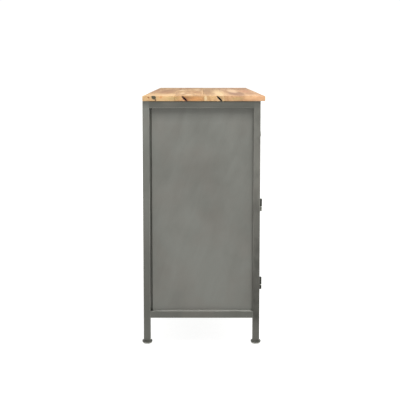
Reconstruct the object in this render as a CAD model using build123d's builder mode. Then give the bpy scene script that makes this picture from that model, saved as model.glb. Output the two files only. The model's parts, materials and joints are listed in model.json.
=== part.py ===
from build123d import *
import os

os.makedirs("parts", exist_ok=True)

# Sideboard: a welded square-tube frame with sheet steel skins, three drawers over
# three doors, and a glued board top. Millimetres. +Z is up and the front faces -Y.
# The origin is on the floor, in the middle of the whole length and depth.

# Overall sizes
top_length = 1700.0
overall_height = 900.0
frame_depth = 421.0
top_thickness = 18.0
top_end_overhang = 3.0
top_front_overhang = 16.0
knob_projection = 20.0  # door knobs, out from the frame's front
pull_projection = 16.5  # drawer pulls, out from the frame's front

# Square tube of the frame and of the doors
tube = 25.0
tube_wall = 1.5
tube_corner = 2.5
door_tube = 20.0
door_tube_wall = 1.2
door_tube_corner = 2.0

# Folded sheet steel
sheet = 1.2
bend_radius = 2.4  # outside radius of a fold
shelf_fold = 20.0
panel_fold = 10.0
panel_setback = 12.0  # outer face of a skin, in from the outer face of the tubes
end_panel_gap = 6.0  # slot between an end panel and its back leg

# Feet
foot_radius = 18.25
foot_disc_thickness = 8.0
foot_disc_round = 3.0  # under the disc's rim
glide_height = 4.0
glide_radius = 15.0
glide_round = 2.5
glide_spigot_radius = 4.0
glide_spigot_height = 12.0

# Layout of the front
bottom_rail_clearance = 95.5  # floor to the underside of the bottom rails
drawer_opening_height = 215.0
front_gap = 2.5  # round each door and drawer front
side_play = 1.0  # at each end of a shelf

# Barrel hinges
hinge_radius = 4.0
hinge_stand_off = 0.4  # barrel clear of the face that it is welded to
lower_hinge_distance = 100.5  # hinge centre above the door opening's bottom
upper_hinge_distance = 109.5  # hinge centre below the door opening's top
door_knuckle_height = 28.0
frame_knuckle_height = 15.2
hinge_washer_height = 2.4
hinge_lift = 0.1  # door knuckle clear of the washer
hinge_pin_radius = 2.2
hinge_pin_play = 0.05
hinge_pin_into_door = 20.0
hinge_pin_into_frame = 12.0
hinge_leaf_width = 9.0
hinge_leaf_thickness = 2.0

# Drawers
drawer_front_depth = 18.0
drawer_box_height = 150.0
drawer_box_lift = 8.0  # box floor above the drawer rail
drawer_rear_space = 18.0
drawer_bend = 2.0
runner_space = 13.0  # between a drawer box and the upright beside it
runner_height = 36.0
runner_depth = 11.0
runner_play = 0.5
runner_lift = 30.0  # runner's underside above the drawer box's underside
runner_front_play = 2.0

# Cup pulls
pull_width = 92.0
pull_height = 28.0
pull_wall = 2.0
pull_shoulder = 20.0  # where the sloping front ends and the round top begins
pull_slope = 2.0  # the front leans back by this much at the shoulder
pull_drop = 7.0  # pull's underside below the middle of the drawer opening
pull_ear = 13.0
pull_ear_thickness = 2.0

# Door knobs
knob_radius = 12.5
knob_neck_radius = 5.5
knob_base_radius = 9.0
knob_base_thickness = 2.5
knob_head_thickness = 9.0
knob_edge = 3.0
knob_flare = 1.5
knob_below_door_top = 110.0

# Shelves, catches and the fixings of the top
shelf_front_setback = 15.0
shelf_rear_space = 12.0
cleat_height = 15.0
cleat_reach = 10.0
catch_width = 12.0
catch_depth = 30.0
catch_height = 40.0
catch_play = 0.3
catch_below_rail = 30.0
tab_width = 30.0
tab_reach = 28.0
tab_thickness = 3.0
screw_radius = 2.0
screw_play = 0.05
screw_depth = 12.0
screw_head_radius = 4.2
screw_head_height = 2.6
tab_hole_radius = 2.4

# Places along the depth (Y)
front_reach = max(knob_projection, pull_projection, top_front_overhang)
foot_overhang = max(0.0, foot_radius - tube / 2)
back_face = (front_reach + frame_depth + foot_overhang) / 2 - foot_overhang
front_face = back_face - frame_depth
front_tube_y = front_face + tube / 2
back_tube_y = back_face - tube / 2
front_inner = front_face + tube
back_inner = back_face - tube
back_skin_front = back_face - panel_setback - sheet

# Places along the height (Z)
foot_height = glide_height + foot_disc_thickness
top_underside = overall_height - top_thickness
bottom_rail_top = bottom_rail_clearance + tube
top_rail_low = top_underside - tube
drawer_rail_top = top_rail_low - drawer_opening_height
drawer_rail_low = drawer_rail_top - tube
bottom_rail_z = bottom_rail_clearance + tube / 2
drawer_rail_z = drawer_rail_low + tube / 2
top_rail_z = top_rail_low + tube / 2

# Places along the length (X): three bays between the end legs and two dividers
frame_end = top_length / 2 - top_end_overhang
leg_x = frame_end - tube / 2
inner_end = frame_end - tube
bay_width = (2 * inner_end - 2 * tube) / 3
divider_x = bay_width / 2 + tube / 2
bays = {
    "left": -inner_end,
    "middle": -bay_width / 2,
    "right": inner_end - bay_width,
}
sides = {"left": -1, "right": 1}


def tube_section(size, wall, corner):
    RectangleRounded(size, size, corner)
    inner = size - 2 * wall
    RectangleRounded(inner, inner, corner - wall, mode=Mode.SUBTRACT)


def folded_section(corners, inside):
    """Section of a folded sheet: its outer face's corners, and the side that the sheet lies on."""
    with BuildLine() as outline:
        FilletPolyline(*corners, radius=bend_radius)
        offset(amount=sheet, side=inside)
    make_face(outline.edges())


def along_x(x, y, z):
    return Plane(origin=(x, y, z), x_dir=(0, 1, 0), z_dir=(1, 0, 0))


# Top: boards glued edge to edge, drilled from below for its screws
tab_x = [low + bay_width / 2 for low in bays.values()]
tab_hole_y = (front_inner + tab_reach / 2, back_inner - tab_reach / 2)
tab_places = [(x, y) for x in tab_x for y in tab_hole_y]

with BuildPart() as top_slab:
    with BuildSketch(Plane.XY.offset(top_underside)):
        with Locations((0, (back_face + front_face - top_front_overhang) / 2)):
            Rectangle(top_length, frame_depth + top_front_overhang)
    extrude(amount=top_thickness)
    with BuildSketch(Plane.XY.offset(top_underside)):
        with Locations(*tab_places):
            Circle(screw_radius + screw_play)
    extrude(amount=screw_depth + screw_play, mode=Mode.SUBTRACT)
top_slab.part.label = "top_slab"
export_step(top_slab.part, "parts/top_slab.step")

# Legs: full-height tubes, standing on the foot discs
for side, s in sides.items():
    for end, y in (("front", front_tube_y), ("back", back_tube_y)):
        with BuildPart() as post:
            with BuildSketch(Plane(origin=(s * leg_x, y, foot_height))):
                tube_section(tube, tube_wall, tube_corner)
            extrude(amount=top_underside - foot_height)
        post.part.label = f"post_{end}_{side}"
        export_step(post.part, f"parts/post_{end}_{side}.step")

# Rails across each end
for side, s in sides.items():
    for level, z in (("top", top_rail_z), ("bottom", bottom_rail_z)):
        with BuildPart() as end_rail:
            with BuildSketch(Plane(origin=(s * leg_x, front_inner, z), z_dir=(0, 1, 0))):
                tube_section(tube, tube_wall, tube_corner)
            extrude(amount=back_inner - front_inner)
        end_rail.part.label = f"end_rail_{level}_{side}"
        export_step(end_rail.part, f"parts/end_rail_{level}_{side}.step")

# Long rails, front and back
for end, y in (("front", front_tube_y), ("back", back_tube_y)):
    for level, z in (("top", top_rail_z), ("bottom", bottom_rail_z)):
        with BuildPart() as long_rail:
            with BuildSketch(along_x(-inner_end, y, z)):
                tube_section(tube, tube_wall, tube_corner)
            extrude(amount=2 * inner_end)
        long_rail.part.label = f"{end}_rail_{level}"
        export_step(long_rail.part, f"parts/{end}_rail_{level}.step")

# Dividers of the front frame, and the short rails between doors and drawers
for side, s in sides.items():
    with BuildPart() as divider:
        with BuildSketch(Plane(origin=(s * divider_x, front_tube_y, bottom_rail_top))):
            tube_section(tube, tube_wall, tube_corner)
        extrude(amount=top_rail_low - bottom_rail_top)
    divider.part.label = f"divider_{side}"
    export_step(divider.part, f"parts/divider_{side}.step")

with BuildPart() as drawer_rails:
    for bay_low in bays.values():
        with BuildSketch(along_x(bay_low, front_tube_y, drawer_rail_z)):
            tube_section(tube, tube_wall, tube_corner)
        extrude(amount=bay_width)
drawer_rails.part.label = "drawer_rails"
export_step(drawer_rails.part, "parts/drawer_rails.step")

# End panels: a sheet set back in the end frame. Along its back edge the sheet steps
# inwards and on to the flat of the back leg, which leaves a narrow slot
panel_outer_x = frame_end - panel_setback
end_slot_floor_x = inner_end + tube_corner + sheet
for side, s in sides.items():
    with BuildPart() as end_panel:
        with BuildSketch(Plane.XY.offset(bottom_rail_top)):
            folded_section(
                [
                    (s * panel_outer_x, front_inner),
                    (s * panel_outer_x, back_inner - end_panel_gap),
                    (s * end_slot_floor_x, back_inner - end_panel_gap),
                    (s * end_slot_floor_x, back_inner),
                ],
                Side.RIGHT if s < 0 else Side.LEFT,
            )
        extrude(amount=top_rail_low - bottom_rail_top)
    end_panel.part.label = f"end_panel_{side}"
    export_step(end_panel.part, f"parts/end_panel_{side}.step")

# Back panel and bottom panel, set between the long rails
with BuildPart() as back_panel:
    with BuildSketch(Plane.XY.offset(bottom_rail_top)):
        with Locations((0, back_skin_front + sheet / 2)):
            Rectangle(2 * inner_end, sheet)
    extrude(amount=top_rail_low - bottom_rail_top)
back_panel.part.label = "back_panel"
export_step(back_panel.part, "parts/back_panel.step")

with BuildPart() as bottom_panel:
    with BuildSketch(Plane.YZ.offset(-inner_end)):
        folded_section(
            [
                (front_inner, bottom_rail_top - panel_fold),
                (front_inner, bottom_rail_top),
                (back_inner, bottom_rail_top),
                (back_inner, bottom_rail_top - panel_fold),
            ],
            Side.RIGHT,
        )
    extrude(amount=2 * inner_end)
bottom_panel.part.label = "bottom_panel"
export_step(bottom_panel.part, "parts/bottom_panel.step")

# Partitions: one sheet folded into a flat U, as thick as the divider in front of it
for side, s in sides.items():
    with BuildPart() as partition:
        with BuildSketch(Plane.XY.offset(bottom_rail_top)):
            folded_section(
                [
                    (s * divider_x - tube / 2, front_inner),
                    (s * divider_x - tube / 2, back_skin_front),
                    (s * divider_x + tube / 2, back_skin_front),
                    (s * divider_x + tube / 2, front_inner),
                ],
                Side.RIGHT,
            )
        extrude(amount=top_rail_low - bottom_rail_top)
    partition.part.label = f"partition_{side}"
    export_step(partition.part, f"parts/partition_{side}.step")

# Shelves behind the doors, with their front and back edges folded down
shelf_top = (bottom_rail_top + drawer_rail_low) / 2
shelf_front = front_face + door_tube + shelf_front_setback
shelf_back = back_skin_front - shelf_rear_space
for bay, bay_low in bays.items():
    with BuildPart() as shelf:
        with BuildSketch(Plane.YZ.offset(bay_low + side_play)):
            folded_section(
                [
                    (shelf_front, shelf_top - shelf_fold),
                    (shelf_front, shelf_top),
                    (shelf_back, shelf_top),
                    (shelf_back, shelf_top - shelf_fold),
                ],
                Side.RIGHT,
            )
        extrude(amount=bay_width - 2 * side_play)
    shelf.part.label = f"shelf_{bay}"
    export_step(shelf.part, f"parts/shelf_{bay}.step")

# Cleats: angle strips under the shelves, between the shelf's folds
cleat_top = shelf_top - sheet
cleat_front = shelf_front + sheet + bend_radius
cleat_back = min(shelf_back, back_inner - end_panel_gap) - sheet - bend_radius
end_panel_inner_x = panel_outer_x - sheet
with BuildPart() as shelf_cleats:
    for bay, bay_low in bays.items():
        wall_low = -end_panel_inner_x if bay == "left" else bay_low
        wall_high = end_panel_inner_x if bay == "right" else bay_low + bay_width
        with BuildSketch(Plane.XZ.offset(-cleat_back)):
            folded_section(
                [
                    (wall_low, cleat_top - cleat_height),
                    (wall_low, cleat_top),
                    (bay_low + cleat_reach, cleat_top),
                ],
                Side.RIGHT,
            )
            folded_section(
                [
                    (wall_high, cleat_top - cleat_height),
                    (wall_high, cleat_top),
                    (bay_low + bay_width - cleat_reach, cleat_top),
                ],
                Side.LEFT,
            )
        extrude(amount=cleat_back - cleat_front)
shelf_cleats.part.label = "shelf_cleats"
export_step(shelf_cleats.part, "parts/shelf_cleats.step")

# Feet: a steel disc welded under each leg, and a plastic glide pressed up into it
foot_places = [(x, y) for x in (-leg_x, leg_x) for y in (front_tube_y, back_tube_y)]
with BuildPart() as foot_discs:
    with BuildSketch(Plane.XY.offset(glide_height)):
        with Locations(*foot_places):
            Circle(foot_radius)
            Circle(glide_spigot_radius, mode=Mode.SUBTRACT)
    extrude(amount=foot_disc_thickness)
    under_rims = foot_discs.edges().group_by(Axis.Z)[0].group_by(SortBy.LENGTH)[-1]
    fillet(under_rims, radius=foot_disc_round)
foot_discs.part.label = "foot_discs"
export_step(foot_discs.part, "parts/foot_discs.step")

with BuildPart() as foot_glides:
    with BuildSketch():
        with Locations(*foot_places):
            Circle(glide_radius)
    extrude(amount=glide_height)
    floor_edges = foot_glides.edges().group_by(Axis.Z)[0]
    fillet(floor_edges, radius=glide_round)
    with BuildSketch(Plane.XY.offset(glide_height)):
        with Locations(*foot_places):
            Circle(glide_spigot_radius)
    extrude(amount=glide_spigot_height)
foot_glides.part.label = "foot_glides"
export_step(foot_glides.part, "parts/foot_glides.step")

# Barrel hinges: the door lifts off the pins. The barrels stand in front of the gap
# between a door and the upright that it hangs on.
hinge_height = door_knuckle_height + hinge_washer_height + frame_knuckle_height
hinge_low = [
    bottom_rail_top + lower_hinge_distance - hinge_height / 2,
    drawer_rail_low - upper_hinge_distance - hinge_height / 2,
]
hinge_y = front_face - hinge_radius - hinge_stand_off
hinge_side = {"left": -1, "middle": -1, "right": 1}
hinge_x = {}
for bay, bay_low in bays.items():
    if hinge_side[bay] < 0:
        hinge_x[bay] = bay_low + front_gap / 2
    else:
        hinge_x[bay] = bay_low + bay_width - front_gap / 2


def leaf(outward):
    """Leaf from the barrel's centre to one side, flat against the face behind it."""
    reach = front_gap / 2 + hinge_leaf_width
    depth = hinge_radius + hinge_stand_off
    with Locations((outward * reach / 2, depth - hinge_leaf_thickness / 2)):
        Rectangle(reach, hinge_leaf_thickness)
    neck = hinge_leaf_thickness
    with Locations((outward * neck / 2, depth / 2)):
        Rectangle(neck, depth)


with BuildPart() as hinge_frame_knuckles:
    for bay, x in hinge_x.items():
        for low in hinge_low:
            with BuildSketch(Plane(origin=(x, hinge_y, low))):
                Circle(hinge_radius)
                leaf(hinge_side[bay])
            extrude(amount=frame_knuckle_height)
            with BuildSketch(Plane(origin=(x, hinge_y, low + frame_knuckle_height))):
                Circle(hinge_pin_radius)
            extrude(amount=-hinge_pin_into_frame, mode=Mode.SUBTRACT)
hinge_frame_knuckles.part.label = "hinge_frame_knuckles"
export_step(hinge_frame_knuckles.part, "parts/hinge_frame_knuckles.step")

with BuildPart() as hinge_pins:
    for x in hinge_x.values():
        for low in hinge_low:
            pin_low = low + frame_knuckle_height - hinge_pin_into_frame
            with BuildSketch(Plane(origin=(x, hinge_y, pin_low))):
                Circle(hinge_pin_radius)
            extrude(amount=hinge_pin_into_frame + hinge_washer_height + hinge_pin_into_door)
hinge_pins.part.label = "hinge_pins"
export_step(hinge_pins.part, "parts/hinge_pins.step")

with BuildPart() as hinge_washers:
    for x in hinge_x.values():
        for low in hinge_low:
            with BuildSketch(Plane(origin=(x, hinge_y, low + frame_knuckle_height))):
                Circle(hinge_radius)
                Circle(hinge_pin_radius, mode=Mode.SUBTRACT)
            extrude(amount=hinge_washer_height)
hinge_washers.part.label = "hinge_washers"
export_step(hinge_washers.part, "parts/hinge_washers.step")

# Doors: a frame of four square tubes, a sheet panel in it, a knob on the side away
# from the hinges, and the upper hinge barrels
door_low = bottom_rail_top + front_gap
door_high = drawer_rail_low - front_gap
door_tube_y = front_face + door_tube / 2
for bay, bay_low in bays.items():
    s = hinge_side[bay]
    door_left = bay_low + front_gap
    door_right = bay_low + bay_width - front_gap
    door_tubes = []
    for x in (door_left + door_tube / 2, door_right - door_tube / 2):
        with BuildPart() as stile:
            with BuildSketch(Plane(origin=(x, door_tube_y, door_low))):
                tube_section(door_tube, door_tube_wall, door_tube_corner)
            extrude(amount=door_high - door_low)
        door_tubes.append(stile.part)
    for z in (door_low + door_tube / 2, door_high - door_tube / 2):
        with BuildPart() as door_rail:
            with BuildSketch(along_x(door_left + door_tube, door_tube_y, z)):
                tube_section(door_tube, door_tube_wall, door_tube_corner)
            extrude(amount=door_right - door_left - 2 * door_tube)
        door_tubes.append(door_rail.part)
    door_frame = Compound(label=f"door_{bay}_frame", children=door_tubes)
    export_step(door_frame, f"parts/door_{bay}_frame.step")

    with BuildPart() as door_panel:
        with BuildSketch(Plane.XY.offset(door_low + door_tube)):
            with Locations(((door_left + door_right) / 2, door_tube_y)):
                Rectangle(door_right - door_left - 2 * door_tube, sheet)
        extrude(amount=door_high - door_low - 2 * door_tube)
    door_panel.part.label = f"door_{bay}_panel"
    export_step(door_panel.part, f"parts/door_{bay}_panel.step")

    knob_x = (door_right if s < 0 else door_left) + s * door_tube / 2
    knob_z = door_high - knob_below_door_top
    knob_neck_end = knob_projection - knob_head_thickness
    with BuildPart() as knob:
        with BuildSketch(Plane(origin=(knob_x, front_face, knob_z))):
            with BuildLine():
                Polyline(
                    (0, -knob_projection),
                    (0, 0),
                    (knob_base_radius, 0),
                    (knob_base_radius, -knob_base_thickness),
                    (knob_neck_radius, -knob_base_thickness - knob_flare),
                    (knob_neck_radius, -knob_neck_end + knob_flare),
                    (knob_radius, -knob_neck_end),
                    (knob_radius, -knob_neck_end - knob_edge),
                )
                EllipticalCenterArc(
                    (0, -knob_neck_end - knob_edge),
                    knob_radius,
                    knob_head_thickness - knob_edge,
                    start_angle=270,
                    arc_size=90,
                )
            make_face()
        revolve(axis=Axis((knob_x, front_face, knob_z), (0, 1, 0)))
    knob.part.label = f"door_{bay}_knob"
    export_step(knob.part, f"parts/door_{bay}_knob.step")

    knuckle_rise = frame_knuckle_height + hinge_washer_height + hinge_lift
    with BuildPart() as door_knuckles:
        for low in hinge_low:
            knuckle_plane = Plane(origin=(hinge_x[bay], hinge_y, low + knuckle_rise))
            with BuildSketch(knuckle_plane):
                Circle(hinge_radius)
                leaf(-s)
            extrude(amount=door_knuckle_height - hinge_lift)
            with BuildSketch(knuckle_plane):
                Circle(hinge_pin_radius + hinge_pin_play)
            extrude(amount=hinge_pin_into_door + 1, mode=Mode.SUBTRACT)
    door_knuckles.part.label = f"door_{bay}_hinge_knuckles"
    export_step(door_knuckles.part, f"parts/door_{bay}_hinge_knuckles.step")

# Magnetic catches, which also stop each door flush with the frame
catch_top = drawer_rail_low - catch_below_rail
with BuildPart() as door_catches:
    for bay, bay_low in bays.items():
        s = hinge_side[bay]
        wall_x = bay_low + bay_width if s < 0 else bay_low
        with BuildSketch(Plane.XY.offset(catch_top - catch_height)):
            with Locations(
                (
                    wall_x + s * catch_width / 2,
                    front_face + door_tube + catch_play + catch_depth / 2,
                )
            ):
                Rectangle(catch_width, catch_depth)
        extrude(amount=catch_height)
door_catches.part.label = "door_catches"
export_step(door_catches.part, "parts/door_catches.step")

# Drawers: a folded front, a tray spot-welded to it, a cup pull and two runner rails
drawer_low = drawer_rail_top + front_gap
drawer_high = top_rail_low - front_gap
box_low = drawer_rail_top + drawer_box_lift
box_front = front_face + sheet
box_back = back_skin_front - drawer_rear_space
runner_low = box_low + runner_lift
runner_front = front_face + drawer_front_depth + runner_front_play
pull_low = (drawer_rail_top + top_rail_low) / 2 - pull_drop
for bay, bay_low in bays.items():
    bay_x = bay_low + bay_width / 2
    with BuildPart() as drawer_front:
        with BuildSketch(Plane.XZ.offset(-front_face - drawer_front_depth)):
            with Locations((bay_x, (drawer_low + drawer_high) / 2)):
                Rectangle(bay_width - 2 * front_gap, drawer_high - drawer_low)
        extrude(amount=drawer_front_depth)
        fillet(drawer_front.edges().filter_by(Axis.Y), radius=drawer_bend)
        back_opening = drawer_front.faces().sort_by(Axis.Y)[-1]
        offset(amount=-sheet, openings=back_opening)
    drawer_front.part.label = f"drawer_{bay}_front"
    export_step(drawer_front.part, f"parts/drawer_{bay}_front.step")

    with BuildPart() as drawer_box:
        with BuildSketch(Plane.XY.offset(box_low)):
            with Locations((bay_x, (box_front + box_back) / 2)):
                Rectangle(bay_width - 2 * runner_space, box_back - box_front)
        extrude(amount=drawer_box_height)
        fillet(drawer_box.edges().filter_by(Axis.Z), radius=drawer_bend)
        top_opening = drawer_box.faces().sort_by(Axis.Z)[-1]
        offset(amount=-sheet, openings=top_opening)
    drawer_box.part.label = f"drawer_{bay}_box"
    export_step(drawer_box.part, f"parts/drawer_{bay}_box.step")

    # Cup: a hood with a sloping front and a round top, open underneath, with a fixing
    # ear at each side
    with BuildPart() as pull:
        for hood, mode in ((0.0, Mode.ADD), (pull_wall, Mode.SUBTRACT)):
            half = pull_width / 2 - hood
            reach = pull_projection - hood
            shoulder_reach = reach - pull_slope
            rise = pull_height - hood
            with BuildSketch(Plane.YZ.offset(bay_x - half)):
                with BuildLine():
                    Line((front_face, pull_low), (front_face - reach, pull_low))
                    Line(
                        (front_face - reach, pull_low),
                        (front_face - shoulder_reach, pull_low + pull_shoulder),
                    )
                    EllipticalCenterArc(
                        (front_face, pull_low + pull_shoulder),
                        shoulder_reach,
                        rise - pull_shoulder,
                        start_angle=90,
                        arc_size=90,
                    )
                    Line((front_face, pull_low + rise), (front_face, pull_low))
                make_face()
            extrude(amount=2 * half, mode=mode)
        with BuildSketch(Plane.XZ.offset(-front_face)):
            with Locations((bay_x, pull_low + pull_height / 2)):
                SlotOverall(pull_width + 2 * pull_ear, pull_height * 0.6)
                Rectangle(pull_width - 2 * pull_wall, pull_height, mode=Mode.SUBTRACT)
        extrude(amount=pull_ear_thickness)
    pull.part.label = f"drawer_{bay}_pull"
    export_step(pull.part, f"parts/drawer_{bay}_pull.step")

    rail_height = runner_height - 2 * sheet - 2 * runner_play
    rail_low = runner_low + sheet + runner_play
    with BuildPart() as runner_rails:
        with BuildSketch(Plane.XZ.offset(-box_back)):
            for wall_x, inward in ((bay_low, 1), (bay_low + bay_width, -1)):
                box_side = wall_x + inward * runner_space
                rail_face = wall_x + inward * (sheet + runner_play)
                folded_section(
                    [
                        (box_side, rail_low),
                        (rail_face, rail_low),
                        (rail_face, rail_low + rail_height),
                        (box_side, rail_low + rail_height),
                    ],
                    Side.RIGHT if inward > 0 else Side.LEFT,
                )
        extrude(amount=box_back - runner_front)
    runner_rails.part.label = f"drawer_{bay}_runner_rails"
    export_step(runner_rails.part, f"parts/drawer_{bay}_runner_rails.step")

# Runner channels, fixed to the legs, dividers and partitions
runner_back = back_skin_front - side_play
with BuildPart() as runner_channels:
    with BuildSketch(Plane.XZ.offset(-runner_back)):
        for bay_low in bays.values():
            for wall_x, inward in ((bay_low, 1), (bay_low + bay_width, -1)):
                mouth = wall_x + inward * runner_depth
                folded_section(
                    [
                        (mouth, runner_low),
                        (wall_x, runner_low),
                        (wall_x, runner_low + runner_height),
                        (mouth, runner_low + runner_height),
                    ],
                    Side.RIGHT if inward > 0 else Side.LEFT,
                )
    extrude(amount=runner_back - runner_front)
runner_channels.part.label = "runner_channels"
export_step(runner_channels.part, "parts/runner_channels.step")

# Fixings of the top: tabs welded to the long top rails, each with one screw
with BuildPart() as top_fixing_tabs:
    with BuildSketch(Plane.XY.offset(top_underside - tab_thickness)):
        with Locations(*tab_places):
            Rectangle(tab_width, tab_reach)
            Circle(tab_hole_radius, mode=Mode.SUBTRACT)
    extrude(amount=tab_thickness)
top_fixing_tabs.part.label = "top_fixing_tabs"
export_step(top_fixing_tabs.part, "parts/top_fixing_tabs.step")

with BuildPart() as top_screws:
    with BuildSketch(Plane.XY.offset(top_underside - tab_thickness)):
        with Locations(*tab_places):
            Circle(screw_radius)
    extrude(amount=tab_thickness + screw_depth)
    with BuildSketch(Plane.XY.offset(top_underside - tab_thickness)):
        with Locations(*tab_places):
            Circle(screw_head_radius)
    extrude(amount=-screw_head_height)
top_screws.part.label = "top_screws"
export_step(top_screws.part, "parts/top_screws.step")
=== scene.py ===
import json
import math
import random

import bmesh
import bpy
from mathutils import Matrix, Vector


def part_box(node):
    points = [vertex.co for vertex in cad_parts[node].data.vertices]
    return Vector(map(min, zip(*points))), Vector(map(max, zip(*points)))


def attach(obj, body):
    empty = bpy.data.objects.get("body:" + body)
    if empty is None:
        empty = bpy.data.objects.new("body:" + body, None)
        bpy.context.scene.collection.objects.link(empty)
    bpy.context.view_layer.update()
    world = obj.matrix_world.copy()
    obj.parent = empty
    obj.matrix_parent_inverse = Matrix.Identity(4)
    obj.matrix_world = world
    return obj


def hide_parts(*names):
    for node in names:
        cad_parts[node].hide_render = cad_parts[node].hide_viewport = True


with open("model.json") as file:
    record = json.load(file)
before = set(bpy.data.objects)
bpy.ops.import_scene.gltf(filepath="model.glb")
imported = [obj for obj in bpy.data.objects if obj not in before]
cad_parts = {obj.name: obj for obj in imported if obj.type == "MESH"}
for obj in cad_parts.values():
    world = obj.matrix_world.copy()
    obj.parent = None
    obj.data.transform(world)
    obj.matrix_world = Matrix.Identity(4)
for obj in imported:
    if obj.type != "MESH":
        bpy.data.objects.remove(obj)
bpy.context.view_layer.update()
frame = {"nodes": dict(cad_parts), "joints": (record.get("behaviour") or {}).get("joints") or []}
nodes = frame["nodes"]
bayNames = ("left", "middle", "right")
legNames = [(row, side) for row in ("front", "back") for side in ("left", "right")]
mm = 0.001

slabLow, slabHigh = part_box("top_slab")
slabDepth = slabHigh.y - slabLow.y
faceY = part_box("post_front_left")[0].y  # front face of the steel frame
print("frame loaded:", len(nodes), "nodes")


def hexColour(code):
    # an sRGB hex value as the linear colour that shaders take
    channels = [int(code[i:i + 2], 16) / 255 for i in (0, 2, 4)]
    linear = [c / 12.92 if c <= 0.04045 else ((c + 0.055) / 1.055) ** 2.4 for c in channels]
    return (*linear, 1.0)


usualSettings = {  # of the nodes below, where a call doesn't say otherwise
    "Mix": {"data_type": "RGBA"}, "Mapping": {"vector_type": "TEXTURE"}, "Bevel": {"samples": 4},
}


def addNode(tree, kind, inputs=None, output=0, **settings):
    # adds a shader node, fills or links its inputs and gives back one output; an input goes by
    # its name or number, and a text value is a colour's hex code
    node = tree.nodes.new("ShaderNode" + kind)
    for name, value in {**usualSettings.get(kind, {}), **settings}.items():
        setattr(node, name, value)
    free = [s for s in node.inputs if s.enabled]
    for key, value in (inputs or {}).items():
        socket = free[key] if isinstance(key, int) else next(s for s in free if s.name == key)
        if isinstance(value, bpy.types.NodeSocket):
            tree.links.new(value, socket)
        else:
            socket.default_value = hexColour(value) if isinstance(value, str) else value
    shown = [s for s in node.outputs if s.enabled]
    return shown[output] if isinstance(output, int) else next(s for s in shown if s.name == output)


def newMaterial(name):
    material = bpy.data.materials.new(name)
    material.use_nodes = True
    tree = material.node_tree
    tree.nodes.clear()
    shader = tree.nodes.new("ShaderNodeBsdfPrincipled")
    end = tree.nodes.new("ShaderNodeOutputMaterial")
    tree.links.new(shader.outputs["BSDF"], end.inputs["Surface"])
    return material, tree, shader, addNode(tree, "TexCoord", output="Object")


def finishSurface(tree, shader, colour, roughness, relief, look):
    # links colour, roughness and a fine relief, and softens every edge by a small radius
    edge = addNode(tree, "Bevel", {"Radius": look["edge"]})
    bump = addNode(tree, "Bump", {"Height": relief, "Strength": look["reliefStrength"],
                                  "Distance": look["reliefDepth"], "Normal": edge})
    for socket, value in (("Base Color", colour), ("Roughness", roughness), ("Normal", bump)):
        tree.links.new(value, shader.inputs[socket])
    shader.inputs["Metallic"].default_value = look["metallic"]
    shader.inputs["Coat Weight"].default_value = look["coat"]
    shader.inputs["Coat Roughness"].default_value = look["coatRoughness"]


steel = {
    "cloud": 150 * mm,                       # one cloud of the hand-rubbed grey
    "warm": 110 * mm,                        # brownish hints left by the heat of the rolling mill
    "smear": (48 * mm, 48 * mm, 290 * mm),   # one wipe of the rag
    "brush": (1.6 * mm, 1.6 * mm, 60 * mm),  # lines 0.3 mm apart on the real sheet, drawn coarser
    "blotch": (60 * mm, 60 * mm, 90 * mm),
    "paintedFloorShade": (0.1, 0.8),                    # heights between which the painted shade toward the floor thins out
    "leg": (0.06, 0.12),                     # below these the painted shade is a little lighter again
    "warmTint": "7a716a", "darkTint": "34332d", "edgeWearAndHighlightTint": "a9a8a0",
    "arris": 1.2 * mm, "edgeWearAndHighlight": 0.4,
    "metallic": 0.45, "roughness": 0.47, "coat": 0.1, "coatRoughness": 0.4,
    "edge": 0.7 * mm, "reliefStrength": 0.1, "reliefDepth": 0.25 * mm,
}


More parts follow.
